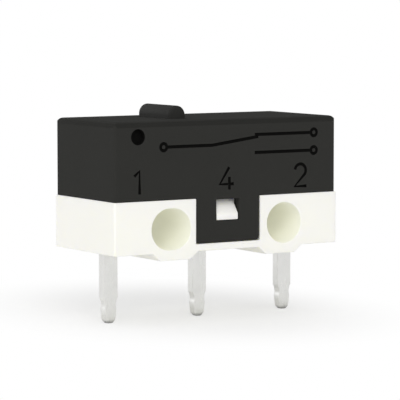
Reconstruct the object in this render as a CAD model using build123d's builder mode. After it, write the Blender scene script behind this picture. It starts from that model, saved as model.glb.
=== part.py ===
"""Subminiature snap-action changeover switch: pin plunger, three in-line board terminals.

Millimetres. X runs along the case, Y through it and Z towards the plunger. The origin lies
midway between the two mounting holes, at half the depth of the case. The common terminal is
at -X, the normally closed one at +X.
"""

from build123d import *
import os

os.makedirs("parts", exist_ok=True)

# Base: a moulded block with the mounting holes, standing on two feet
base_length = 12.8
base_depth = 5.8
floor_drop = 1.14  # from the hole axes down to the underside
seam_rise = 1.40  # from the hole axes up to the cover
base_edge = 0.10
hole_inset = 3.15  # from each end to the axis of its mounting hole
hole_diameter = 2.0
slot_play = 0.2  # extra length of the slotted hole
foot_radius = 1.65
foot_shift = 0.22  # each foot's arc centre lies this far inside its hole's axis
foot_centre_drop = 0.07
foot_drop = 1.50  # from the hole axes down to the flat of the feet
plinth_height = 0.40  # raised deck inside the cover
plinth_gap = 0.04

# Cover: a cap with a snap tab front and back
cover_step = 0.05  # how far the cover stands in from the base, all round
cover_height = 3.80
cover_wall = 0.50
roof_thickness = 0.60
cover_corner = 0.15
cover_edge = 0.28  # round of the roof's edges
tab_wall = 0.30  # base material between a tab's recess and the slotted hole
tab_reach = 2.165  # from the seam down
tab_corner = 0.20
tab_edge = 0.09
tab_gap = 0.03
window_width = 1.32
window_height = 1.03
window_lift = 1.045  # from the tab's lower edge to the window
latch_width = 1.22
latch_shift = 0.03  # the latch sits this far towards -X in its window
latch_gap = 0.02  # above and below the latch
latch_ledge = 0.04  # flat at the top of the latch
latch_catch = 0.30  # straight height of the catch face
dimple_diameter = 0.75
dimple_depth = 0.35
dimple_inset = 1.34  # from the base's end
dimple_drop = 0.73  # from the cover's top to the dimple's axis

# Terminals: 0.45 strip, blanked and folded
strip = 0.45
leg_inset = 1.32  # from each end of the base to the outer legs
leg_width = 0.80
leg_drop = 4.71  # from the hole axes down to the tips
shoulder_width = 0.66  # under the nick, where the taper starts
tip_width = 0.54  # at the end of the taper
tip_chamfer = 0.14
tip_thickness = 0.34
coin_length = 0.35  # where the tip thins
nick_depth = 0.10
nick_length = 0.56
nick_rise = 0.68  # from the tip to the lower end of the nick
leg_gap = 0.01
fold_radius = 0.15  # inside radius of the folded terminals
plate_front = 1.10  # contact plates, towards -Y
plate_back = 0.70  # contact plates, towards +Y
plate_margin = 0.20  # contact plates, past the contact
relief = 0.10  # cut beside each fold

# Snap mechanism
blade_thickness = 0.10
blade_width = 2.60
blade_bar = 0.42  # cross bar behind the pivot notch
slot_width = 0.80
blade_root = 1.00  # solid stretch between the slot and the contact arm
arm_reach = 0.70  # from the solid stretch to the contact's axis
arm_width = 1.30
tongue_width = 0.60
tongue_bow = 0.40
contact_inset = 3.10  # from the base's end
contact_diameter = 0.90
contact_head = 0.20
contact_dome = 0.06
contact_gap = 0.40
shank_diameter = 0.50
rivet_gap = 0.01
pivot_offset = 0.10  # the pivot lies this far outside the common leg's centre
anchor_drop = 0.25  # the tongue's seat lies this far below the blade
horn_width = 0.40
horn_round = 0.10
pivot_horn_rise = 0.35  # above the blade
anchor_horn_rise = 0.15
notch_depth = 0.10
notch_gap = 0.02
seat_mouth = 0.44  # height of the V-shaped seat of the tongue
web_height = 0.35

# Plunger
plunger_x = -2.03
plunger_width = 0.94  # also the diameter of its half-round top
plunger_depth = 2.90
plunger_rise = 0.635  # above the cover when free
plunger_edge = 0.10
plunger_gap = 0.04
flange_width = 1.50
flange_depth = 3.50
flange_height = 0.50
nose_width = 0.56
nose_depth = 2.40
nose_clearance = 0.34  # to the horn that seats the tongue
free_gap = 0.02

# Heights worked out from the hole axes
floor_z = -floor_drop
foot_z = -foot_drop
tip_z = -leg_drop
deck_z = seam_rise + plinth_height
top_z = seam_rise + cover_height
ceiling_z = top_z - roof_thickness
rivet_height = 2 * contact_head + blade_thickness
open_face_z = deck_z + strip + contact_head
blade_z = open_face_z + contact_gap + rivet_height / 2
closed_face_z = blade_z + rivet_height / 2
closed_plate_z = closed_face_z + contact_head
anchor_z = blade_z - anchor_drop
blade_top_z = blade_z + blade_thickness / 2

# Plan sizes worked out from the base and the walls
hole_x = base_length / 2 - hole_inset
foot_x = hole_x - foot_shift
leg_x = base_length / 2 - leg_inset
contact_x = base_length / 2 - contact_inset
dimple_x = dimple_inset - base_length / 2
tab_width = 2 * (hole_x - (hole_diameter + slot_play) / 2 - tab_wall - tab_gap)
cover_length = base_length - 2 * cover_step
cover_depth = base_depth - 2 * cover_step
cavity_length = cover_length - 2 * cover_wall
cavity_depth = cover_depth - 2 * cover_wall
recess_y = cavity_depth / 2 - plinth_gap
tab_low_z = seam_rise - tab_reach
window_low_z = tab_low_z + window_lift
window_top_z = window_low_z + window_height
pivot_x = -leg_x - pivot_offset
anchor_x = plunger_x + nose_width / 2 + nose_clearance + horn_width - notch_depth
slot_end_x = contact_x - arm_reach - blade_root
blade_left_x = pivot_x - blade_bar
bend_y = -strip / 2 - fold_radius


def terminal_leg(x, top):
    """A terminal's leg at x, up to the height top: nicked edges and a tapered, coined tip."""
    half = leg_width / 2
    nick_low = tip_z + nick_rise
    nick_high = nick_low + nick_length
    with BuildPart() as leg:
        with BuildSketch(Plane.XZ.shift_origin((x, 0, 0))):
            with BuildLine():
                Polyline((0, top), (half, top), (half, nick_high))
                ThreePointArc(
                    (half, nick_high),
                    (half - nick_depth, (nick_low + nick_high) / 2),
                    (shoulder_width / 2, nick_low),
                )
                Polyline(
                    (shoulder_width / 2, nick_low),
                    (tip_width / 2, tip_z + tip_chamfer),
                    (tip_width / 2 - tip_chamfer, tip_z),
                    (0, tip_z),
                    (0, top),
                )
            make_face()
            mirror(about=Plane.YZ)
        extrude(amount=strip / 2, both=True)
        with BuildSketch(Plane.YZ.offset(x)):
            with BuildLine():
                Polyline(
                    (0, tip_z),
                    (tip_thickness / 2, tip_z),
                    (strip / 2, tip_z + coin_length),
                    (strip / 2, top),
                    (0, top),
                    close=True,
                )
            make_face()
            mirror(about=Plane.YZ)
        extrude(amount=leg_width, both=True, mode=Mode.INTERSECT)
    return leg.part


def folded_terminal(x, plate_z, far_x):
    """A leg folded over into a level contact plate that reaches to far_x, underside at plate_z."""
    side = 1 if far_x > x else -1
    bend_z = plate_z - fold_radius
    near_x = x - side * leg_width / 2
    inner_x = x + side * (leg_width / 2 + relief)
    with BuildPart() as terminal:
        add(terminal_leg(x, bend_z))
        with BuildSketch(Plane.YZ.offset(x - leg_width / 2)):
            with BuildLine():
                Line((strip / 2, bend_z), (-strip / 2, bend_z))
                CenterArc((bend_y, bend_z), fold_radius, 0, 90)
                Polyline(
                    (bend_y, plate_z),
                    (-plate_front, plate_z),
                    (-plate_front, plate_z + strip),
                    (bend_y, plate_z + strip),
                )
                CenterArc((bend_y, bend_z), strip + fold_radius, 0, 90)
            make_face()
        extrude(amount=leg_width)
        with BuildSketch(Plane.XY.offset(plate_z)):
            with Locations(((inner_x + far_x) / 2, (plate_back - plate_front) / 2)):
                Rectangle(abs(far_x - inner_x), plate_front + plate_back)
            with Locations(((near_x + far_x) / 2, (bend_y - plate_front) / 2)):
                Rectangle(abs(far_x - near_x), bend_y + plate_front)
            with Locations((contact_x, 0)):
                Circle(shank_diameter / 2 + rivet_gap, mode=Mode.SUBTRACT)
        extrude(amount=strip)
    return terminal.part


def fixed_contact(face_z, up):
    """A flat-faced rivet through a contact plate; up is 1 if its face looks up, else -1."""
    back_z = face_z - up * contact_head
    tail_z = back_z - up * strip
    with BuildPart() as rivet:
        with BuildSketch(Plane.XZ.shift_origin((contact_x, 0, 0))):
            with BuildLine():
                Polyline(
                    (0, face_z),
                    (contact_diameter / 2 - contact_dome, face_z),
                    (contact_diameter / 2, face_z - up * contact_dome),
                    (contact_diameter / 2, back_z),
                    (shank_diameter / 2, back_z),
                    (shank_diameter / 2, tail_z),
                    (0, tail_z),
                    close=True,
                )
            make_face()
        revolve(axis=Axis((contact_x, 0, 0), (0, 0, 1)))
    return rivet.part


# Base
with BuildPart() as base:
    with BuildSketch(Plane.XY.offset(floor_z)):
        Rectangle(base_length, base_depth)
    extrude(amount=seam_rise - floor_z)
    fillet(base.edges().filter_by(Axis.Z), base_edge)
    # Two rounded feet run from front to back under the mounting holes
    with BuildSketch(Plane.XZ):
        with Locations((-foot_x, -foot_centre_drop), (foot_x, -foot_centre_drop)):
            Circle(foot_radius)
        with Locations((0, foot_z)):
            Rectangle(
                base_length,
                foot_drop,
                align=(Align.CENTER, Align.MIN),
                mode=Mode.INTERSECT,
            )
    extrude(amount=base_depth / 2, both=True)
    # Deck that centres the cover and carries the contact plates
    with BuildSketch(Plane.XY.offset(seam_rise)):
        Rectangle(cavity_length - 2 * plinth_gap, 2 * recess_y)
    extrude(amount=plinth_height)
    # Mounting holes: round at the right, slotted at the left
    with BuildSketch(Plane.XZ):
        with Locations((hole_x, 0)):
            Circle(hole_diameter / 2)
        with Locations((-hole_x, 0)):
            SlotCenterToCenter(slot_play, hole_diameter)
    extrude(amount=base_depth, both=True, mode=Mode.SUBTRACT)
    # Recesses that take the cover's tabs, front and back
    with BuildSketch(Plane.XY.offset(tab_low_z - tab_gap)):
        Rectangle(tab_width + 2 * tab_gap, base_depth)
        Rectangle(tab_width + 2 * tab_gap, 2 * recess_y, mode=Mode.SUBTRACT)
    extrude(amount=seam_rise - tab_low_z + tab_gap, mode=Mode.SUBTRACT)
    # Latches: wedges that snap into the windows of the tabs
    with BuildSketch(Plane.YZ.offset(-latch_shift)):
        with BuildLine():
            Polyline(
                (recess_y, window_low_z + latch_gap),
                (cover_depth / 2, window_low_z + latch_gap),
                (cover_depth / 2, window_low_z + latch_gap + latch_catch),
                (recess_y + latch_ledge, window_top_z - latch_gap),
                (recess_y, window_top_z - latch_gap),
                close=True,
            )
        make_face()
        mirror(about=Plane.YZ)
    extrude(amount=latch_width / 2, both=True)
    # Slots for the three legs, and room for the fold of the middle one
    with BuildSketch(Plane.XY.offset(floor_z)):
        with Locations((-leg_x, 0), (0, 0), (leg_x, 0)):
            Rectangle(leg_width + 2 * leg_gap, strip + 2 * leg_gap)
    extrude(amount=deck_z - floor_z, mode=Mode.SUBTRACT)
    with BuildSketch(Plane.XY.offset(deck_z - fold_radius)):
        with Locations((0, bend_y)):
            Rectangle(
                leg_width + 2 * leg_gap,
                fold_radius + strip / 2,
                align=(Align.CENTER, Align.MIN),
            )
    extrude(amount=fold_radius, mode=Mode.SUBTRACT)

# Cover
with BuildPart() as cover:
    with BuildSketch(Plane.XY.offset(seam_rise)):
        Rectangle(cover_length, cover_depth)
    extrude(amount=cover_height)
    fillet(cover.edges().filter_by(Axis.Z), cover_corner)
    fillet(cover.faces().sort_by(Axis.Z)[-1].edges(), cover_edge)
    with BuildSketch(Plane.XY.offset(seam_rise)):
        Rectangle(cavity_length, cavity_depth)
    extrude(amount=ceiling_z - seam_rise, mode=Mode.SUBTRACT)
    # Snap tabs carry the walls down over the base, with a window for each latch
    with BuildSketch(
        Plane.XZ.offset(cavity_depth / 2), Plane.XZ.offset(-cover_depth / 2)
    ) as tab:
        with Locations((0, tab_low_z)):
            Rectangle(tab_width, tab_reach, align=(Align.CENTER, Align.MIN))
        fillet(tab.vertices().group_by(Axis.Y)[0], tab_corner)
        with Locations((0, window_low_z)):
            Rectangle(
                window_width,
                window_height,
                align=(Align.CENTER, Align.MIN),
                mode=Mode.SUBTRACT,
            )
    extrude(amount=cover_wall)
    tab_ends = cover.edges().filter_by(Axis.X).group_by(Axis.Z)[0].sort_by(Axis.Y)
    fillet([tab_ends[0], tab_ends[-1]], tab_edge)
    # Opening for the plunger
    with BuildSketch(Plane.XY.offset(ceiling_z)):
        with Locations((plunger_x, 0)):
            RectangleRounded(
                plunger_width + 2 * plunger_gap,
                plunger_depth + 2 * plunger_gap,
                plunger_edge + plunger_gap,
            )
    extrude(amount=roof_thickness, mode=Mode.SUBTRACT)
    # Blind holes that would take the pivots of a lever, front and back
    with BuildSketch(
        Plane.XZ.offset(cover_depth / 2 - dimple_depth), Plane.XZ.offset(-cover_depth / 2)
    ):
        with Locations((dimple_x, top_z - dimple_drop)):
            Circle(dimple_diameter / 2)
    extrude(amount=dimple_depth, mode=Mode.SUBTRACT)

# Common terminal: a flat blank with a horn for the blade's pivot and one for its tongue
pivot_horn_left = pivot_x - notch_depth
anchor_horn_right = anchor_x + notch_depth
web_left = -leg_x - leg_width / 2
with BuildPart() as common_terminal:
    add(terminal_leg(-leg_x, deck_z))
    with BuildSketch(Plane.XZ) as blank:
        with Locations((web_left, deck_z)):
            Rectangle(anchor_horn_right - web_left, web_height, align=(Align.MIN, Align.MIN))
        with Locations((pivot_horn_left, deck_z)):
            Rectangle(
                horn_width,
                blade_z + pivot_horn_rise - deck_z,
                align=(Align.MIN, Align.MIN),
            )
        with Locations((anchor_horn_right, deck_z)):
            Rectangle(
                horn_width,
                blade_z + anchor_horn_rise - deck_z,
                align=(Align.MAX, Align.MIN),
            )
        horn_tips = blank.vertices().filter_by_position(
            Axis.Y, blade_z, blade_z + pivot_horn_rise
        )
        fillet(horn_tips, horn_round)
        with Locations((pivot_horn_left, blade_z)):
            Rectangle(
                notch_depth + notch_gap,
                blade_thickness + 2 * notch_gap,
                align=(Align.MIN, Align.CENTER),
                mode=Mode.SUBTRACT,
            )
        with BuildLine():
            Polyline(
                (anchor_x - blade_thickness / 2, anchor_z + blade_thickness / 2),
                (anchor_horn_right, anchor_z + seat_mouth / 2),
                (anchor_horn_right, anchor_z - seat_mouth / 2),
                (anchor_x - blade_thickness / 2, anchor_z - blade_thickness / 2),
                close=True,
            )
        make_face(mode=Mode.SUBTRACT)
    extrude(amount=strip / 2, both=True)

# Snap blade: a leaf with two arms, and a tongue bowed up between them
with BuildPart() as snap_blade:
    with BuildSketch(Plane.XY.offset(blade_z - blade_thickness / 2)) as leaf:
        with Locations((blade_left_x, 0)):
            Rectangle(
                slot_end_x + blade_root - blade_left_x,
                blade_width,
                align=(Align.MIN, Align.CENTER),
            )
        with Locations((slot_end_x, 0)):
            Rectangle(contact_x - slot_end_x, arm_width, align=(Align.MIN, Align.CENTER))
        with Locations((contact_x, 0)):
            Circle(arm_width / 2)
            Circle(shank_diameter / 2 + rivet_gap, mode=Mode.SUBTRACT)
        with Locations((pivot_x, 0)):
            Rectangle(
                slot_end_x - pivot_x,
                slot_width,
                align=(Align.MIN, Align.CENTER),
                mode=Mode.SUBTRACT,
            )
    extrude(amount=blade_thickness)
    with BuildSketch(Plane.XZ):
        with BuildLine() as bow:
            ThreePointArc(
                (anchor_x, anchor_z),
                ((anchor_x + slot_end_x) / 2, blade_z + tongue_bow),
                (slot_end_x + blade_thickness / 2, blade_z),
            )
        trace(line_width=blade_thickness)
    extrude(amount=tongue_width / 2, both=True)

# Moving contact: a rivet with a domed head on each side of the blade
with BuildPart() as moving_contact:
    with BuildSketch(Plane.XZ.shift_origin((contact_x, 0, 0))) as section:
        with BuildLine():
            Polyline(
                (0, blade_z),
                (shank_diameter / 2, blade_z),
                (shank_diameter / 2, blade_top_z),
                (contact_diameter / 2, blade_top_z),
                (contact_diameter / 2, closed_face_z - contact_dome),
            )
            TangentArc(
                (0, closed_face_z),
                (contact_diameter / 2, closed_face_z - contact_dome),
                tangent=(1, 0),
            )
            Line((0, closed_face_z), (0, blade_z))
        make_face()
    revolve(axis=Axis((contact_x, 0, 0), (0, 0, 1)))
    mirror(about=Plane.XY.offset(blade_z))

# Plunger: a cap through the roof, a flange that keeps it in and a nose on the blade
with BuildPart() as plunger:
    flange_top_z = ceiling_z - free_gap
    flange_low_z = flange_top_z - flange_height
    crown_z = top_z + plunger_rise - plunger_width / 2
    with BuildSketch(Plane.XZ):
        with Locations((plunger_x, flange_top_z)):
            Rectangle(plunger_width, crown_z - flange_top_z, align=(Align.CENTER, Align.MIN))
        with Locations((plunger_x, crown_z)):
            Circle(plunger_width / 2)
    extrude(amount=plunger_depth / 2, both=True)
    ends = plunger.faces().filter_by(Axis.Y).edges()
    fillet(ends - ends.filter_by(Axis.X), plunger_edge)
    with BuildSketch(Plane.XY.offset(flange_low_z)):
        with Locations((plunger_x, 0)):
            Rectangle(flange_width, flange_depth)
    extrude(amount=flange_height)
    with BuildSketch(Plane.XZ) as nose:
        with Locations((plunger_x, flange_low_z)):
            Rectangle(
                nose_width,
                flange_low_z - blade_top_z - free_gap,
                align=(Align.CENTER, Align.MAX),
            )
        fillet(nose.vertices().group_by(Axis.Y)[0], nose_width / 2 * 0.9)
    extrude(amount=nose_depth / 2, both=True)

normally_open_terminal = folded_terminal(
    0, deck_z, contact_x + contact_diameter / 2 + plate_margin
)
normally_closed_terminal = folded_terminal(
    leg_x, closed_plate_z, contact_x - contact_diameter / 2 - plate_margin
)

pieces = {
    "base": base.part,
    "cover": cover.part,
    "plunger": plunger.part,
    "common_terminal": common_terminal.part,
    "normally_open_terminal": normally_open_terminal,
    "normally_closed_terminal": normally_closed_terminal,
    "open_fixed_contact": fixed_contact(open_face_z, 1),
    "closed_fixed_contact": fixed_contact(closed_face_z, -1),
    "snap_blade": snap_blade.part,
    "moving_contact": moving_contact.part,
}
for name, piece in pieces.items():
    piece.label = name
    export_step(piece, f"parts/{name}.step")
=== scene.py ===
import math

import bmesh
import bpy
from mathutils import Matrix, Vector


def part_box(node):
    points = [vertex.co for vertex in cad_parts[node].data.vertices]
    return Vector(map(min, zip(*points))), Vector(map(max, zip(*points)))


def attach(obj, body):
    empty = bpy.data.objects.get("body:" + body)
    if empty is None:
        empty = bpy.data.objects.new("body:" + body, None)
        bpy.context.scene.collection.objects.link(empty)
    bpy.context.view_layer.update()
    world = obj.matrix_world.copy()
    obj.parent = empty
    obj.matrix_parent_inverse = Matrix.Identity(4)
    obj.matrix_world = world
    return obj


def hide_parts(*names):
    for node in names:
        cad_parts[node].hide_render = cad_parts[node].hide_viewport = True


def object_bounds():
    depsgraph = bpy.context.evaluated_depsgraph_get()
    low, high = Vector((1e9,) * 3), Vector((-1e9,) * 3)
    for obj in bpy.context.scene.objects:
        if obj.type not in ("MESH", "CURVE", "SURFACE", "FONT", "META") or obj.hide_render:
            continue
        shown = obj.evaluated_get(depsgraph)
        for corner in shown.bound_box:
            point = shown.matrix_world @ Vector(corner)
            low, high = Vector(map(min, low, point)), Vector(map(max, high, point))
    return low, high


bl_info = {
    "name": "Snap-action switch",
    "version": (1, 0, 0),
    "blender": (4, 5, 0),
    "location": "3D View > Sidebar > Snap switch",
    "description": "Builds a subminiature snap-action switch around its packed parts",
    "category": "Object",
}

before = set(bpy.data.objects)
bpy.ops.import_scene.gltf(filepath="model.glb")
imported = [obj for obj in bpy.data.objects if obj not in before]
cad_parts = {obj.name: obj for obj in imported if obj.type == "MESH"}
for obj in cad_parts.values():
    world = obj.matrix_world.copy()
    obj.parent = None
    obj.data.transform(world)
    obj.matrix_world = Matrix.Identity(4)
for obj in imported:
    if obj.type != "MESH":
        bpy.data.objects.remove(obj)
CAD_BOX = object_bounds()

MM = 0.001

# Places in millimetres that more than one piece or tool needs
SEAM = 1.40  # height at which the cover sits on the base
LEG_X = 5.08  # distance from the middle leg to the outer ones
FAR = 9  # past every piece, so that a tool cuts right through
SAME = 1e-4  # places closer together than this count as one

NOISE_LOW, NOISE_HIGH = 0.3, 0.7  # nearly all values of a noise texture lie between these


# Colours

def linear(code):
    """A colour written as an sRGB hex value, as linear red, green and blue."""
    parts = [int(code[i : i + 2], 16) / 255 for i in (1, 3, 5)]
    return tuple(p / 12.92 if p <= 0.04045 else ((p + 0.055) / 1.055) ** 2.4 for p in parts)


# Settings that a user may change

def length_prop(name, description, millimetres):
    """A length, given in millimetres and kept in metres."""
    return bpy.props.FloatProperty(
        name=name, description=description, default=millimetres * MM, min=0.0, unit="LENGTH"
    )


def angle_prop(name, description, degrees):
    """An angle, given in degrees and kept in radians."""
    return bpy.props.FloatProperty(
        name=name, description=description, default=math.radians(degrees), subtype="ANGLE"
    )


def strength_prop(name, description, strength):
    """The strength of a glow, where 1 shows as plain white."""
    return bpy.props.FloatProperty(name=name, description=description, default=strength, min=0.0)


def share_prop(name, description, share):
    """A share from 0 to 1."""
    return bpy.props.FloatProperty(
        name=name, description=description, default=share, min=0.0, max=1.0, subtype="FACTOR"
    )


def power_prop(name, description, watts):
    """The power of a lamp."""
    return bpy.props.FloatProperty(
        name=name, description=description, default=watts, min=0.0, unit="POWER"
    )


def colour_prop(name, description, code):
    """A colour, given as an sRGB hex value and kept linear."""
    return bpy.props.FloatVectorProperty(
        name=name, description=description, default=linear(code), min=0.0, max=1.0, subtype="COLOR"
    )


class SwitchSizes(bpy.types.PropertyGroup):
    """Sizes of the moulded and blanked pieces"""

    hole: length_prop("Mounting hole", "Diameter of the two mounting holes", 2.0)
    hole_play: length_prop("Slot play", "Extra length of the slotted mounting hole", 0.2)
    foot: length_prop("Foot radius", "Radius of the round feet under the mounting holes", 1.65)
    base_round: length_prop("Base edges", "Radius along the base's moulded edges", 0.035)
    base_corner: length_prop("Base corners", "Radius of the base's upright corners", 0.10)
    cover_round: length_prop("Cover edges", "Radius round the cover's roof", 0.28)
    cover_corner: length_prop("Cover corners", "Radius of the cover's upright corners", 0.15)
    pivot_hole: length_prop("Pivot hole", "Diameter of the blind holes for a lever", 0.75)
    mark_stroke: length_prop("Mark stroke", "Width of the sunk strokes on the cover", 0.16)
    mark_depth: length_prop("Mark depth", "How deep the strokes go into the cover", 0.10)
    mark_height: length_prop("Mark height", "Height of the numbers on the cover", 1.26)
    sheared: length_prop("Sheared edges", "Radius that blanking leaves on the terminals", 0.03)


class SwitchColours(bpy.types.PropertyGroup):
    """Colours of the materials"""

    base: colour_prop("Base", "White moulded plastic of the base", "#FAF9F2")
    # Cream in the bores is painted light: with their painted glow it stands in for light that
    # comes through the thin walls
    bore: colour_prop("Bores", "White plastic in the mounting holes", "#F5F5E8")
    cover: colour_prop("Cover", "Black moulded plastic of the cover", "#2F2F2D")
    # The edge colour is darker than the cover's own: painted shade along the roof's edges
    edge: colour_prop("Cover edge", "Smooth black plastic round the cover's roof", "#282826")
    # The marks' colour is painted shade: darker than the cover, for the shade in the sunk strokes
    # and the pivot holes
    mark: colour_prop("Marks", "Black plastic in the sunk marks and the pivot holes", "#121211")
    plunger: colour_prop("Plunger", "Black moulded plastic of the plunger", "#262624")
    plating: colour_prop("Plating", "Silver plating of the terminals", "#F2F2F0")
    rivet: colour_prop("Contacts", "Silver alloy of the contact rivets", "#D9D7D0")
    leaf: colour_prop("Blade", "Copper alloy of the snap blade", "#D79A6E")
    card: colour_prop("Floor", "Matt white card under the switch", "#F7F7F6")


class SwitchStage(bpy.types.PropertyGroup):
    """Camera, room and lamps"""

    azimuth: angle_prop("Azimuth", "Where the camera stands round the switch", -32.19)
    elevation: angle_prop("Elevation", "How far the camera stands above the horizon", 4.953)
    roll: angle_prop("Roll", "Turn about the line of sight", -0.02)
    distance: length_prop("Distance", "From the camera to the point it looks at", 117.0)
    lens: bpy.props.FloatProperty(
        name="Lens",
        description="Focal length in millimetres",
        default=212.34,
        min=1.0,
        unit="CAMERA",
    )
    horizon: strength_prop("Walls", "Strength of the white room near the horizon", 1.03)
    zenith: strength_prop("Ceiling", "Strength of the white room overhead", 0.35)
    behind: share_prop(
        "Far wall", "Share of the walls' strength on the side that the camera faces", 0.22
    )
    floor_white: share_prop(
        "Floor white", "Share of plain white in what the camera sees of the floor", 0.46
    )
    top: power_prop("Top light", "Power of the soft box overhead", 0.58)
    key: power_prop("Key light", "Power of the soft box in front", 1.42)


# Tools for shaping. Pieces are shaped in millimetres and brought to metres when they are done.

def pick(piece):
    """Makes this piece the only one selected, and the active one."""
    bpy.ops.object.select_all(action="DESELECT")
    piece.select_set(True)
    bpy.context.view_layer.objects.active = piece


def apply_place(name):
    """Names the new primitive and puts its place into its mesh."""
    made = bpy.context.object
    made.name = made.data.name = name
    bpy.ops.object.transform_apply(location=True, rotation=True, scale=True)
    return made


def block(name, low, high):
    """A box between its lowest and its highest corner."""
    bpy.ops.object.select_all(action="DESELECT")
    middle = [(a + b) / 2 for a, b in zip(low, high)]
    sides = [b - a for a, b in zip(low, high)]
    bpy.ops.mesh.primitive_cube_add(size=1, location=middle, scale=sides)
    return apply_place(name)


def rod(name, radius, depth, middle, sides=96):
    """A cylinder that lies along Y."""
    bpy.ops.object.select_all(action="DESELECT")
    bpy.ops.mesh.primitive_cylinder_add(
        vertices=sides,
        radius=radius,
        depth=depth,
        location=middle,
        rotation=(math.pi / 2, 0, 0),
    )
    return apply_place(name)


def finish_step(piece, kind, **settings):
    """Adds a modifier with these settings and applies it."""
    pick(piece)
    step = piece.modifiers.new(kind.lower(), kind)
    for key, value in settings.items():
        setattr(step, key, value)
    bpy.ops.object.modifier_apply(modifier=step.name)


def combine(body, tool, operation, **settings):
    """Joins the tool to the body, cuts it out or keeps what both share, and removes the tool."""
    finish_step(body, "BOOLEAN", operation=operation, solver="EXACT", object=tool, **settings)
    bpy.data.objects.remove(tool)


def round_edges(piece, radius, steps, wanted):
    """Rounds the edges that pass, judged by the places of their two ends."""
    pick(piece)
    bpy.ops.object.mode_set(mode="EDIT")
    bpy.ops.mesh.select_mode(type="EDGE")
    bpy.ops.mesh.select_all(action="DESELECT")
    shape = bmesh.from_edit_mesh(piece.data)
    for edge in shape.edges:
        edge.select_set(wanted(edge.verts[0].co, edge.verts[1].co))
    bmesh.update_edit_mesh(piece.data)
    bpy.ops.mesh.bevel(offset=radius, segments=steps, affect="EDGES", clamp_overlap=False)
    bpy.ops.object.mode_set(mode="OBJECT")


def upright(a, b):
    """Passes an edge that stands upright."""
    return abs(a.x - b.x) < SAME and abs(a.y - b.y) < SAME


def across_bottom(z):
    """A test that passes the edges that run across the wall at this height, along Y."""
    least = 0.1
    return lambda a, b: abs(a.y - b.y) > least and max(a.z, b.z) < z + SAME


def soften(piece, radius, steps=3, angle=35):
    """Rounds every edge sharper than the angle, which is in degrees."""
    finish_step(
        piece,
        "BEVEL",
        width=radius,
        segments=steps,
        limit_method="ANGLE",
        angle_limit=math.radians(angle),
        use_clamp_overlap=False,
        miter_outer="MITER_ARC",
    )


def clean(piece, gap=1e-4, flat=0.2):
    """Merges doubles, joins the faces that lie in one plane and turns the faces outward.

    gap is in millimetres and flat in degrees.
    """
    pick(piece)
    bpy.ops.object.mode_set(mode="EDIT")
    bpy.ops.mesh.select_all(action="SELECT")
    bpy.ops.mesh.remove_doubles(threshold=gap)
    bpy.ops.mesh.dissolve_limited(angle_limit=math.radians(flat))
    bpy.ops.mesh.dissolve_degenerate(threshold=gap)
    bpy.ops.mesh.normals_make_consistent(inside=False)
    bpy.ops.object.mode_set(mode="OBJECT")


def corners(node):
    """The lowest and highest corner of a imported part, in millimetres."""
    low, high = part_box(node)
    return low / MM, high / MM


def span(piece):
    """The lowest and highest corner of a finished piece."""
    places = [v.co for v in piece.data.vertices]
    return [Vector([end(p[i] for p in places) for i in range(3)]) for end in (min, max)]


def settle(piece, body, material, nodes):
    """Brings a finished piece to metres, smooths it and gives it its body and finish."""
    sharp = math.radians(30)  # steeper edges stay sharp
    play = 0.02 * MM  # how far a corner may lie from its node's
    pick(piece)
    piece.scale = (MM, MM, MM)
    bpy.ops.object.transform_apply(location=False, rotation=False, scale=True)
    bpy.ops.object.shade_smooth_by_angle(angle=sharp)
    finish_step(piece, "WEIGHTED_NORMAL", keep_sharp=True, weight=80)
    if material:
        piece.data.materials.clear()
        piece.data.materials.append(material)
    for node in nodes:
        for found, meant in zip(span(piece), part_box(node)):
            if (found - meant).length > play:
                raise RuntimeError(f"{piece.name} doesn't fill the box of {node}")
    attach(piece, body)
    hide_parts(*nodes)


# Materials

def add_node(tree, kind, settings=None, inputs=None):
    """Adds one node; an input is a value or another node's output."""
    made = tree.nodes.new(kind)
    for key, value in (settings or {}).items():
        setattr(made, key, value)
    for key, value in (inputs or {}).items():
        if isinstance(value, bpy.types.NodeSocket):
            tree.links.new(value, made.inputs[key])
        else:
            made.inputs[key].default_value = value
    return made


def new_material(name):
    """An empty material and its node tree."""
    made = bpy.data.materials.new(name)
    made.use_nodes = True
    made.node_tree.nodes.clear()
    return made, made.node_tree


def close_material(tree, surface):
    """Links the finished surface to the material's output."""
    add_node(tree, "ShaderNodeOutputMaterial", None, {"Surface": surface})


def shades(colour, spread):
    """The darkest and lightest shade of a colour, as two colours with alpha."""
    return [tuple(min(1.0, c * (1 + s)) for c in colour) + (1.0,) for s in (-spread, spread)]


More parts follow.
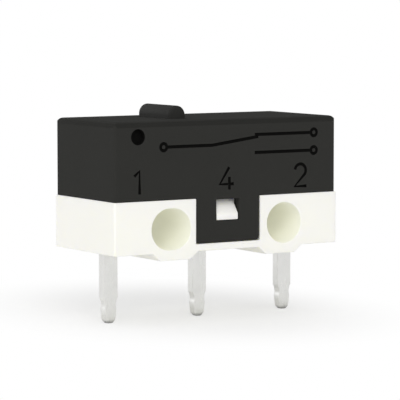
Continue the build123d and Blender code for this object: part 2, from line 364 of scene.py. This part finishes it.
def moulded_plastic(
    name, colour, roughness, ior_level, grain, lift, spread=0.05, glow=0.0, painted_glow=0.0
):
    """A glass-filled thermoplastic moulded against a spark-eroded tool.

    The eroded steel leaves an even grain that scatters the highlight into a dull sheen. The
    melt's flow leaves slow changes of shade, a few millimetres across. grain is the grain's
    size in millimetres: the real one is about 0.03, too fine to show, so it is drawn two to
    three times as coarse. lift is its height and spread the share by which the shade changes.
    glow is the share of the light that spreads inside the plastic; painted_glow is the strength of
    a painted glow, which stands in for the light that comes through the walls from the outer
    faces.
    """
    colour = tuple(colour)
    flow_size = 3.0 * MM
    sheen_change = 0.05
    glow_reach = (0.8 * MM, 0.8 * MM, 0.3 * MM)
    material, tree = new_material(name)
    place = add_node(tree, "ShaderNodeTexCoord").outputs["Object"]
    flow = add_node(
        tree,
        "ShaderNodeTexNoise",
        None,
        {"Vector": place, "Scale": 1 / flow_size, "Detail": 3.0, "Roughness": 0.5},
    )
    low, high = shades(colour, spread)
    tint = add_node(
        tree,
        "ShaderNodeMix",
        {"data_type": "RGBA"},
        {0: flow.outputs["Fac"], 6: low, 7: high},
    )
    pits = add_node(
        tree,
        "ShaderNodeTexNoise",
        None,
        {"Vector": place, "Scale": 1 / (grain * MM), "Detail": 2.0, "Roughness": 0.6},
    )
    sheen = add_node(
        tree,
        "ShaderNodeMapRange",
        None,
        {
            "Value": pits.outputs["Fac"],
            "From Min": NOISE_LOW,
            "From Max": NOISE_HIGH,
            "To Min": roughness - sheen_change,
            "To Max": roughness + sheen_change,
        },
    )
    relief = add_node(
        tree,
        "ShaderNodeBump",
        None,
        {"Strength": 1.0, "Distance": lift * MM, "Height": pits.outputs["Fac"]},
    )
    plastic = add_node(
        tree,
        "ShaderNodeBsdfPrincipled",
        None,
        {
            "Base Color": tint.outputs[2],
            "Roughness": sheen.outputs["Result"],
            "Normal": relief.outputs["Normal"],
            "IOR": 1.5,
            "Specular IOR Level": ior_level,
            "Subsurface Weight": glow,
            "Subsurface Radius": glow_reach,
            "Subsurface Scale": 1.0,
            # Painted glow: the plastic glows in its own colour, standing in for light that comes
            # through thin walls
            "Emission Color": (*colour, 1.0),
            "Emission Strength": painted_glow,
        },
    )
    close_material(tree, plastic.outputs["BSDF"])
    return material


def rolled_metal(name, colour, roughness, line, lift, cut=None):
    """Metal strip, rolled lengthwise, with faint clouds of tarnish 0.7 mm across.

    Rolling leaves fine lines along the strip. They run upright, as on the terminals' legs, and
    stretch a highlight across them; on faces that lie flat they show as a fine grain. line is
    their spacing in millimetres: the real one is about 0.01, too fine to show, so it is drawn
    several times as coarse. lift is their height in millimetres. cut is the height in metres of
    the strip's cut end; just above it the colour is painted darker towards the end, a painted
    shade for the contact shadow that the tip reflects.
    """
    cloud_size = 0.7 * MM
    cloud_spread = 0.05
    sheen_change = 0.01
    line_stretch = (1.0, 1.0, 0.04)
    tip_shade_height = 0.22 * MM
    tip_shade = 0.45
    material, tree = new_material(name)
    place = add_node(tree, "ShaderNodeTexCoord").outputs["Object"]
    along = add_node(
        tree,
        "ShaderNodeMapping",
        {"vector_type": "POINT"},
        {"Vector": place, "Scale": line_stretch},
    )
    lines = add_node(
        tree,
        "ShaderNodeTexNoise",
        None,
        {"Vector": along.outputs["Vector"], "Scale": 1 / (line * MM), "Detail": 2.0},
    )
    cloud = add_node(
        tree,
        "ShaderNodeTexNoise",
        None,
        {"Vector": place, "Scale": 1 / cloud_size, "Detail": 3.0, "Roughness": 0.6},
    )
    low, high = shades(tuple(colour), cloud_spread)
    tint = add_node(
        tree,
        "ShaderNodeMix",
        {"data_type": "RGBA"},
        {0: cloud.outputs["Fac"], 6: low, 7: high},
    )
    shade = tint.outputs[2]
    # Painted shade: the colour darkens towards the legs' cut ends, for the contact shadow that
    # they reflect
    if cut is not None:
        height = add_node(tree, "ShaderNodeSeparateXYZ", None, {"Vector": place})
        tip_shade_ramp = add_node(
            tree,
            "ShaderNodeMapRange",
            {"interpolation_type": "SMOOTHSTEP"},
            {
                "Value": height.outputs["Z"],
                "From Min": cut,
                "From Max": cut + tip_shade_height,
                "To Min": tip_shade,
                "To Max": 1.0,
            },
        )
        tip_shaded = add_node(
            tree,
            "ShaderNodeVectorMath",
            {"operation": "SCALE"},
            {0: shade, "Scale": tip_shade_ramp.outputs[0]},
        )
        shade = tip_shaded.outputs["Vector"]
    sheen = add_node(
        tree,
        "ShaderNodeMapRange",
        None,
        {
            "Value": lines.outputs["Fac"],
            "From Min": NOISE_LOW,
            "From Max": NOISE_HIGH,
            "To Min": roughness - sheen_change,
            "To Max": roughness + sheen_change,
        },
    )
    relief = add_node(
        tree,
        "ShaderNodeBump",
        None,
        {"Strength": 1.0, "Distance": lift * MM, "Height": lines.outputs["Fac"]},
    )
    metal = add_node(
        tree,
        "ShaderNodeBsdfPrincipled",
        None,
        {
            "Base Color": shade,
            "Metallic": 1.0,
            "Roughness": sheen.outputs["Result"],
            "Normal": relief.outputs["Normal"],
        },
    )
    close_material(tree, metal.outputs["BSDF"])
    return material


def white_card(colour, floor_white):
    """Matt white card, which keeps the soft shadow.

    Under and beside the switch the camera sees a mix of the lit card and plain white. Further
    out the mix runs to plain white, and the card has no edge.
    """
    mix_middle = (-0.5 * MM, -1.8 * MM, 0.0)
    mix_shape = (1.0, 0.75, 1.0)
    mix_near, mix_far = 3 * MM, 11.5 * MM
    card, tree = new_material("white_card")
    rays = add_node(tree, "ShaderNodeLightPath")
    place = add_node(tree, "ShaderNodeTexCoord").outputs["Object"]
    spot = add_node(
        tree,
        "ShaderNodeMapping",
        {"vector_type": "POINT"},
        {"Vector": place, "Location": mix_middle, "Scale": mix_shape},
    )
    away = add_node(
        tree, "ShaderNodeVectorMath", {"operation": "LENGTH"}, {0: spot.outputs["Vector"]}
    )
    spread = add_node(
        tree,
        "ShaderNodeMapRange",
        {"interpolation_type": "SMOOTHSTEP"},
        {
            "Value": away.outputs["Value"],
            "From Min": mix_near,
            "From Max": mix_far,
            "To Min": floor_white,
            "To Max": 1.0,
        },
    )
    seen = add_node(
        tree,
        "ShaderNodeMath",
        {"operation": "MULTIPLY"},
        {0: rays.outputs["Is Camera Ray"], 1: spread.outputs[0]},
    )
    matt = add_node(tree, "ShaderNodeBsdfDiffuse", None, {"Color": (*colour, 1.0)})
    white = add_node(tree, "ShaderNodeEmission", None, {"Color": (1, 1, 1, 1), "Strength": 1.0})
    both = add_node(
        tree,
        "ShaderNodeMixShader",
        None,
        {0: seen.outputs[0], 1: matt.outputs[0], 2: white.outputs[0]},
    )
    close_material(tree, both.outputs[0])
    return card


def white_room(horizon, zenith, behind):
    """A white room with a dimmer ceiling and a dim far wall, plain white to the camera itself.

    The dim far wall keeps the faces that turn up from shining.
    """
    ceiling_height = 0.9  # how far up the walls have turned into ceiling, from 0 to 1
    bright_side = (-0.93, -0.37, 0.0)  # toward the wall opposite the far one
    bright_from, bright_share = 0.25, 1.12
    world = bpy.data.worlds.new("white_room")
    world.use_nodes = True
    tree = world.node_tree
    tree.nodes.clear()
    rays = add_node(tree, "ShaderNodeLightPath")
    toward = add_node(tree, "ShaderNodeTexCoord").outputs["Generated"]
    height = add_node(tree, "ShaderNodeSeparateXYZ", None, {"Vector": toward})
    room = add_node(
        tree,
        "ShaderNodeMapRange",
        {"interpolation_type": "SMOOTHSTEP"},
        {
            "Value": height.outputs["Z"],
            "From Min": 0.0,
            "From Max": ceiling_height,
            "To Min": horizon,
            "To Max": zenith,
        },
    )
    side = add_node(
        tree,
        "ShaderNodeVectorMath",
        {"operation": "DOT_PRODUCT"},
        {0: toward, 1: bright_side},
    )
    walls = add_node(
        tree,
        "ShaderNodeMapRange",
        {"interpolation_type": "SMOOTHSTEP"},
        {
            "Value": side.outputs["Value"],
            "From Min": -1.0,
            "From Max": bright_from,
            "To Min": behind,
            "To Max": bright_share,
        },
    )
    shaded = add_node(
        tree,
        "ShaderNodeMath",
        {"operation": "MULTIPLY"},
        {0: room.outputs[0], 1: walls.outputs[0]},
    )
    lit = add_node(
        tree,
        "ShaderNodeMix",
        {"data_type": "FLOAT"},
        {0: rays.outputs["Is Camera Ray"], 2: shaded.outputs[0], 3: 1.0},
    )
    glow = add_node(
        tree, "ShaderNodeBackground", None, {"Color": (1, 1, 1, 1), "Strength": lit.outputs[0]}
    )
    add_node(tree, "ShaderNodeOutputWorld", None, {"Surface": glow.outputs[0]})
    return world


# The pieces

class SwitchPiece:
    """What every piece's operator shares."""

    bl_options = {"REGISTER", "UNDO"}


def cut_slots(body):
    """Cuts the three slots that the terminals' legs stand in."""
    half_x, half_y = 0.41, 0.235
    for x in (-LEG_X, 0, LEG_X):
        tool = block("slot", (x - half_x, -half_y, -FAR), (x + half_x, half_y, FAR))
        combine(body, tool, "DIFFERENCE")


def latch_wedge(side, recess_y, cover_y):
    """A wedge that catches in a tab's window, sloped so that the tab slides over it."""
    left, right = -0.64, 0.58
    bottom, lip, top = 0.30, 0.60, 1.29
    root, crest = 0.2, 0.04  # how far it reaches into the base, and its width at the top
    near, far = sorted((side * (recess_y - root), side * cover_y))
    latch = block("latch", (left, near, bottom), (right, far, top))
    pick(latch)
    bpy.ops.object.mode_set(mode="EDIT")
    bpy.ops.mesh.select_all(action="SELECT")
    bpy.ops.mesh.bisect(
        plane_co=(0, side * cover_y, lip),
        plane_no=(0, side * (top - lip), cover_y - recess_y - crest),
        use_fill=True,
        clear_outer=True,
    )
    bpy.ops.object.mode_set(mode="OBJECT")
    return latch


class SWITCH_OT_base(SwitchPiece, bpy.types.Operator):
    """Mould the white base with its holes, feet, latches and slots"""

    bl_idname = "snap_switch.base"
    bl_label = "Base"

    def execute(self, context):
        sizes, colours = context.scene.switch_sizes, context.scene.switch_colours
        low, high = corners("base")
        cover_low, cover_high = corners("cover")
        half_x, half_y = high.x, high.y
        underside, deck_z = -1.14, high.z
        recess_y, cover_y = 2.31, cover_high.y
        recess_x, recess_play = 1.85, 0.03
        hole = sizes.hole / MM / 2
        play = sizes.hole_play / MM / 2
        hole_x, foot_x, foot_z = 3.25, 3.03, -0.07
        deck_x, deck_root = 5.81, 0.3
        fold_x, fold_y, fold_z = 0.41, -0.375, 0.15
        # The outline with its round feet, made deeper than the base and trimmed to its plan
        deep, foot_deep = 4, 10
        body = block("base_moulding", (-half_x, -deep, underside), (half_x, deep, SEAM))
        for side in (-1, 1):
            foot = rod("foot", sizes.foot / MM, foot_deep, (side * foot_x, 0, foot_z), sides=128)
            combine(body, foot, "UNION")
        plan = block("plan", (-half_x, -half_y, low.z), (half_x, half_y, SEAM))
        round_edges(plan, sizes.base_corner / MM, steps=6, wanted=upright)
        combine(body, plan, "INTERSECT")
        # Bright white with a dull sheen; light that spreads inside softens its shadows
        white = moulded_plastic(
            "pbt_white_moulded",
            colours.base,
            roughness=0.5,
            ior_level=0.3,
            grain=0.09,
            lift=0.0015,
            spread=0.006,
            glow=0.15,
        )
        # The same plastic in the mounting holes, painted cream and given a painted glow, which
        # stand in for light that comes through the thin walls
        bores_painted_glow = moulded_plastic(
            "pbt_white_bores_painted_glow",
            colours.bore,
            roughness=0.45,
            ior_level=0.3,
            grain=0.09,
            lift=0.001,
            spread=0.01,
            painted_glow=0.068,
        )
        body.data.materials.append(white)
        body.data.materials.append(bores_painted_glow)
        # One mounting hole is round, the other slotted: two rods with a block between them
        middles = (hole_x, -hole_x - play, play - hole_x)
        tools = [rod("bore", hole, 3 * half_y, (x, 0, 0)) for x in middles]
        tools.append(block("bore", (-hole_x - play, -FAR, -hole), (-hole_x + play, FAR, hole)))
        for tool in tools:
            tool.data.materials.append(bores_painted_glow)
            combine(body, tool, "DIFFERENCE", material_mode="TRANSFER")
        # Recesses for the cover's tabs
        for side in (-1, 1):
            near, far = sorted((side * recess_y, side * FAR))
            bottom = cover_low.z - recess_play
            tool = block("recess", (-recess_x, near, bottom), (recess_x, far, FAR))
            combine(body, tool, "DIFFERENCE")
        cut_slots(body)
        # The deck inside the cover, with room for the middle terminal's fold
        deck = block("deck", (-deck_x, -recess_y, SEAM - deck_root), (deck_x, recess_y, deck_z))
        cut_slots(deck)
        tool = block("fold_room", (-fold_x, fold_y, deck_z - fold_z), (fold_x, 0, FAR))
        combine(deck, tool, "DIFFERENCE")
        combine(body, deck, "UNION")
        for side in (-1, 1):
            combine(body, latch_wedge(side, recess_y, cover_y), "UNION")
        clean(body)
        soften(body, sizes.base_round / MM)
        settle(body, "housing", None, ["base"])
        return {"FINISHED"}


def cover_shell(sizes, low, high):
    """The cap with its rounded roof, tabs, windows, cavity and the plunger's opening."""
    wall, roof = 0.50, 0.60
    tab_x, tab_root, tab_round = 1.82, 0.5, 0.20
    window_x, window_low, window_high = 0.66, 0.28, 1.31
    opening_left, opening_right, opening_y, opening_round = -2.54, -1.52, 1.49, 0.14
    opening_low = 3
    top = high.z
    body = block("cover_moulding", (low.x, low.y, SEAM), (high.x, high.y, top))
    round_edges(body, sizes.cover_corner / MM, steps=8, wanted=upright)
    # The roof's edges are rounded more than the upright corners, so two blocks trim them
    trim_root, long_edge = 1, 1
    for along in (0, 1):
        tool = block("trim", (low.x, low.y, SEAM - trim_root), (high.x, high.y, top))
        round_edges(
            tool,
            sizes.cover_round / MM,
            steps=12,
            wanted=lambda a, b: min(a.z, b.z) > top - SAME
            and abs(a[along] - b[along]) > long_edge,
        )
        combine(body, tool, "INTERSECT")
    # The tabs reach down over the base
    for side in (-1, 1):
        near, far = sorted((side * (high.y - wall), side * high.y))
        tab = block("tab", (-tab_x, near, low.z), (tab_x, far, SEAM + tab_root))
        round_edges(tab, tab_round, steps=6, wanted=across_bottom(low.z))
        tool = block("window", (-window_x, -FAR, window_low), (window_x, FAR, window_high))
        combine(tab, tool, "DIFFERENCE")
        combine(body, tab, "UNION")
    inside_low = (low.x + wall, low.y + wall, -FAR)
    inside_high = (high.x - wall, high.y - wall, top - roof)
    combine(body, block("cavity", inside_low, inside_high), "DIFFERENCE")
    tool = block(
        "opening", (opening_left, -opening_y, opening_low), (opening_right, opening_y, FAR)
    )
    round_edges(tool, opening_round, steps=6, wanted=upright)
    combine(body, tool, "DIFFERENCE")
    return body


def stroke(points, radius, closed=False):
    """A round cutter along a line of points."""
    line = bpy.data.curves.new("stroke", "CURVE")
    line.dimensions = "3D"
    line.bevel_depth = radius
    line.bevel_resolution = 4
    line.use_fill_caps = True
    run = line.splines.new("POLY")
    run.points.add(len(points) - 1)
    for place, (x, y, z) in zip(run.points, points):
        place.co = (x, y, z, 1)
    run.use_cyclic_u = closed
    made = bpy.data.objects.new("stroke", line)
    bpy.context.scene.collection.objects.link(made)
    pick(made)
    bpy.ops.object.convert(target="MESH")
    return bpy.context.object


def arc(middle, radius, start, end, steps=16):
    """Points on an arc, from one angle to another in degrees."""
    found = []
    for i in range(steps + 1):
        a = math.radians(start + (end - start) * i / steps)
        found.append((middle[0] + radius * math.cos(a), middle[1] + radius * math.sin(a)))
    return found


DRAWN_HEIGHT = 0.92  # height at which the numbers are drawn, before they are scaled


def number(sign):
    """The centre lines of a number, DRAWN_HEIGHT high, from its lower middle."""
    if sign == "1":
        return [[(-0.20, 0.72), (0.04, DRAWN_HEIGHT), (0.04, 0.0)]]
    if sign == "2":
        return [arc((0, 0.65), 0.27, 170, -32) + [(-0.28, 0.0), (0.31, 0.0)]]
    return [[(0.34, 0.24), (-0.33, 0.24), (0.12, DRAWN_HEIGHT)], [(0.13, 0.53), (0.13, 0.01)]]


def contact_sign():
    """The centre lines of a changeover contact, as in a circuit diagram."""
    left, right, top, low, middle, ring = -3.65, 5.05, 0.90, 0.02, 0.46, 0.17
    hinge, tip, tip_gap, contact = -0.9, 1.75, 0.10, 1.55
    ends = ((left, middle), (right, top), (right, low))
    return [(arc(end, ring, 0, 360, 24)[:-1], True) for end in ends] + [
        ([(left + ring, middle), (hinge, middle), (tip, top - tip_gap)], False),
        ([(contact, top), (right - ring, top)], False),
        ([(contact, low), (right - ring, low)], False),
    ]


def marks_cutter(width, depth, height, front):
    """A cutter for all the marks: the terminals' numbers under the contact's diagram."""
    number_z, sign_z = 1.75, 3.49
    # A rod that sinks this deep into the front cuts a stroke of this width
    radius = (width * width / 4 + depth * depth) / (2 * depth)
    y = front - (radius - depth)
    grow = (height - width) / DRAWN_HEIGHT
    lines = []
    for sign, x in (("1", -5.04), ("4", -0.08), ("2", 4.25)):
        for path in number(sign):
            lines.append(([(x + grow * u, number_z + grow * v) for u, v in path], False))
    lines += [([(u, v + sign_z) for u, v in path], closed) for path, closed in contact_sign()]
    cuts = [stroke([(u, y, v) for u, v in path], radius, closed) for path, closed in lines]
    pick(cuts[0])
    for cut in cuts:
        cut.select_set(True)
    bpy.ops.object.join()
    return cuts[0]


class SWITCH_OT_cover(SwitchPiece, bpy.types.Operator):
    """Mould the black cover with its tabs, windows, pivot holes and sunk marks"""

    bl_idname = "snap_switch.cover"
    bl_label = "Cover"

    def execute(self, context):
        sizes, colours = context.scene.switch_sizes, context.scene.switch_colours
        low, high = corners("cover")
        pivot_x, pivot_z, pivot_cutter = -5.06, 4.47, 0.70
        edge_round = 0.03
        body = cover_shell(sizes, low, high)
        # Near-black with a wide, faint sheen from the tool's grain
        black = moulded_plastic(
            "pbt_black_moulded",
            colours.cover,
            roughness=0.90,
            ior_level=0.12,
            grain=0.07,
            lift=0.002,
        )
        # The same plastic in the sunk strokes and the pivot holes, painted darker as painted shade
        # for the light that they keep out, and dull
        sunk_painted_shade = moulded_plastic(
            "pbt_black_sunk_painted_shade",
            colours.mark,
            roughness=1.0,
            ior_level=0.05,
            grain=0.07,
            lift=0.001,
            spread=0.03,
        )
        body.data.materials.clear()
        body.data.materials.append(black)
        body.data.materials.append(sunk_painted_shade)
        for side in (-1, 1):
            tool = rod(
                "pivot_hole",
                sizes.pivot_hole / MM / 2,
                pivot_cutter,
                (pivot_x, side * high.y, pivot_z),
                sides=64,
            )
            tool.data.materials.append(sunk_painted_shade)
            combine(body, tool, "DIFFERENCE", material_mode="TRANSFER")
        clean(body)
        soften(body, edge_round, angle=50)
        cutter = marks_cutter(
            sizes.mark_stroke / MM, sizes.mark_depth / MM, sizes.mark_height / MM, low.y
        )
        cutter.data.materials.append(sunk_painted_shade)
        # The strokes of one sign cross each other, so the cutter may cross itself
        combine(body, cutter, "DIFFERENCE", material_mode="TRANSFER", use_self=True)
        clean(body, gap=1e-3)
        # The faces that round the roof get a darker colour: painted shade for the dark band along
        # the roof's edges. They are also less rough, as the tool is smooth where it rounds the
        # roof
        edge_painted_shade = moulded_plastic(
            "pbt_black_edge_painted_shade",
            colours.edge,
            roughness=0.7,
            ior_level=0.08,
            grain=0.07,
            lift=0.0005,
        )
        body.data.materials.append(edge_painted_shade)
        painted_shade_slot = len(body.data.materials) - 1
        steepest, flattest = 0.02, 0.8
        reach = sizes.cover_round / MM
        for face in body.data.polygons:
            x, y, z = face.center
            outside = abs(x) > high.x - reach or abs(y) > high.y - reach
            if outside and z > high.z - reach and steepest < face.normal.z < flattest:
                face.material_index = painted_shade_slot
        settle(body, "housing", None, ["cover"])
        return {"FINISHED"}


class SWITCH_OT_plunger(SwitchPiece, bpy.types.Operator):
    """Mould the plunger with its crowned cap, flange and nose"""

    bl_idname = "snap_switch.plunger"
    bl_label = "Plunger"

    def execute(self, context):
        colours = context.scene.switch_colours
        low, high = corners("plunger")
        x = (low.x + high.x) / 2
        half, cap_y, cap_low, cap_round = 0.47, 1.45, 4.2, 0.10
        flange_x, flange_y, flange_low, flange_high = 0.75, 1.75, 4.08, 4.58
        nose_x, nose_y, nose_round = 0.28, 1.20, 0.25
        edge_round = 0.02
        crown = high.z - half
        body = block("plunger_moulding", (x - half, -cap_y, cap_low), (x + half, cap_y, crown))
        combine(body, rod("crown", half, 2 * cap_y, (x, 0, crown), sides=128), "UNION")
        clean(body)
        soften(body, cap_round, steps=5, angle=60)
        flange = block(
            "flange", (x - flange_x, -flange_y, flange_low), (x + flange_x, flange_y, flange_high)
        )
        combine(body, flange, "UNION")
        nose = block("nose", (x - nose_x, -nose_y, low.z), (x + nose_x, nose_y, cap_low))
        round_edges(nose, nose_round, steps=8, wanted=across_bottom(low.z))
        combine(body, nose, "UNION")
        clean(body)
        soften(body, edge_round, angle=50)
        # Unfilled acetal, denser and slicker than the cover, so its highlight is narrower
        black = moulded_plastic(
            "pom_black_moulded",
            colours.plunger,
            roughness=0.6,
            ior_level=0.25,
            grain=0.06,
            lift=0.001,
        )
        settle(body, "plunger", black, ["plunger"])
        return {"FINISHED"}


class SWITCH_OT_terminals(SwitchPiece, bpy.types.Operator):
    """Finish the three plated terminals from their imported parts"""

    bl_idname = "snap_switch.terminals"
    bl_label = "Terminals"

    def execute(self, context):
        sizes, colours = context.scene.switch_sizes, context.scene.switch_colours
        # Silver over brass: bright and nearly white, with soft reflections of the room
        plated = rolled_metal(
            "brass_silver_plated",
            colours.plating,
            roughness=0.28,
            line=0.05,
            lift=0.0002,
            cut=CAD_BOX[0].z,
        )
        names = {
            "common_terminal": "common_blank",
            "normally_open_terminal": "open_blank",
            "normally_closed_terminal": "closed_blank",
        }
        for node, name in names.items():
            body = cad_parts[node].copy()
            body.data = body.data.copy()
            body.name = body.data.name = name
            for key in list(body.keys()):
                if key.startswith("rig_"):
                    del body[key]
            body.parent = None
            context.scene.collection.objects.link(body)
            body.data.transform(Matrix.Scale(1 / MM, 4))
            clean(body, flat=1.0)
            soften(body, sizes.sheared / MM, angle=40)
            settle(body, "housing", plated, [node])
        return {"FINISHED"}


class SWITCH_OT_mechanism(SwitchPiece, bpy.types.Operator):
    """Finish the snap blade and the contact rivets"""

    bl_idname = "snap_switch.mechanism"
    bl_label = "Mechanism"

    def execute(self, context):
        colours = context.scene.switch_colours
        # Bare copper alloy, rolled hard: warm, with a fine grain and a soft gleam
        leaf = rolled_metal(
            "copper_alloy_spring_strip", colours.leaf, roughness=0.32, line=0.05, lift=0.0006
        )
        # Silver alloy, headed from wire: pale and a little warmer than the plating
        silver = rolled_metal(
            "silver_alloy_rivet", colours.rivet, roughness=0.30, line=0.06, lift=0.0004
        )
        for node, finish in (
            ("snap_blade", leaf),
            ("moving_contact", silver),
            ("open_fixed_contact", silver),
            ("closed_fixed_contact", silver),
        ):
            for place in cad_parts[node].material_slots:
                place.material = finish
        return {"FINISHED"}


# The stage

def hang_lamp(name, place, size, power):
    """A square soft box that points at the switch; place and size are in metres."""
    lamp = bpy.data.lights.new(name, "AREA")
    lamp.shape = "SQUARE"
    lamp.size = size
    lamp.energy = power
    soft_box = bpy.data.objects.new(name, lamp)
    bpy.context.scene.collection.objects.link(soft_box)
    soft_box.visible_glossy = False
    soft_box.location = place
    soft_box.rotation_euler = (-soft_box.location).to_track_quat("-Z", "Y").to_euler()


def place_camera(plan):
    """A camera on a circle round the point it looks at, which is given in millimetres."""
    aim = Vector((0.1845, 0.0, 1.041)) * MM
    a, e = plan.azimuth, plan.elevation
    back = Vector((math.sin(a) * math.cos(e), -math.cos(a) * math.cos(e), math.sin(e)))
    right = (-back).cross(Vector((0, 0, 1))).normalized()
    up = right.cross(-back)
    c, s = math.cos(plan.roll), math.sin(plan.roll)
    right, up = right * c + up * s, up * c - right * s
    lens = bpy.data.cameras.new("camera")
    lens.lens = plan.lens
    lens.sensor_width = 36.0
    lens.clip_start, lens.clip_end = 0.005, 20.0
    camera = bpy.data.objects.new("camera", lens)
    bpy.context.scene.collection.objects.link(camera)
    turn = Matrix((right, up, back)).transposed().to_4x4()
    camera.matrix_world = Matrix.Translation(aim + back * plan.distance) @ turn
    return camera


class SWITCH_OT_stage(bpy.types.Operator):
    """Set up the floor, the white room, the soft lights and the camera"""

    bl_idname = "snap_switch.stage"
    bl_label = "Stage"

    def execute(self, context):
        scene, plan = context.scene, context.scene.switch_stage
        bpy.ops.object.select_all(action="DESELECT")
        bpy.ops.mesh.primitive_plane_add(size=6.0, location=(0, 0, CAD_BOX[0].z))
        floor = bpy.context.object
        floor.name = "floor"
        card = context.scene.switch_colours.card
        floor.data.materials.append(white_card(card, plan.floor_white))
        scene.world = white_room(plan.horizon, plan.zenith, plan.behind)
        # A soft box overhead, and a stronger one in front at the left, which lights the faces
        # that the camera sees; together they cast the soft shadow
        hang_lamp("soft_box_top", place=(0.0, 0.05, 0.35), size=0.50, power=plan.top)
        hang_lamp("soft_box_key", place=(-0.29, -0.47, 0.34), size=0.42, power=plan.key)
        scene.camera = place_camera(plan)
        scene.view_settings.view_transform = "Standard"
        return {"FINISHED"}


class SWITCH_PT_panel(bpy.types.Panel):
    """Lists the sizes, the colours and the operators"""

    bl_idname = "SWITCH_PT_panel"
    bl_label = "Snap switch"
    bl_space_type = "VIEW_3D"
    bl_region_type = "UI"
    bl_category = "Snap switch"

    def draw(self, context):
        for group in GROUPS:
            settings = getattr(context.scene, group)
            column = self.layout.column(align=True)
            for key in settings.bl_rna.properties.keys():
                if key not in ("rna_type", "name"):
                    column.prop(settings, key)
        for operator in OPERATORS:
            self.layout.operator(operator.bl_idname)


GROUPS = {
    "switch_sizes": SwitchSizes,
    "switch_colours": SwitchColours,
    "switch_stage": SwitchStage,
}
OPERATORS = (
    SWITCH_OT_base,
    SWITCH_OT_cover,
    SWITCH_OT_plunger,
    SWITCH_OT_terminals,
    SWITCH_OT_mechanism,
    SWITCH_OT_stage,
)


def register():
    for made in (*GROUPS.values(), *OPERATORS, SWITCH_PT_panel):
        bpy.utils.register_class(made)
    for name, group in GROUPS.items():
        setattr(bpy.types.Scene, name, bpy.props.PointerProperty(type=group))


def unregister():
    for name in GROUPS:
        delattr(bpy.types.Scene, name)
    for made in (SWITCH_PT_panel, *reversed(OPERATORS), *GROUPS.values()):
        bpy.utils.unregister_class(made)


def main():
    register()
    for step in ("stage", "base", "cover", "plunger", "terminals", "mechanism"):
        getattr(bpy.ops.snap_switch, step)()


if __name__ == "__main__":
    main()
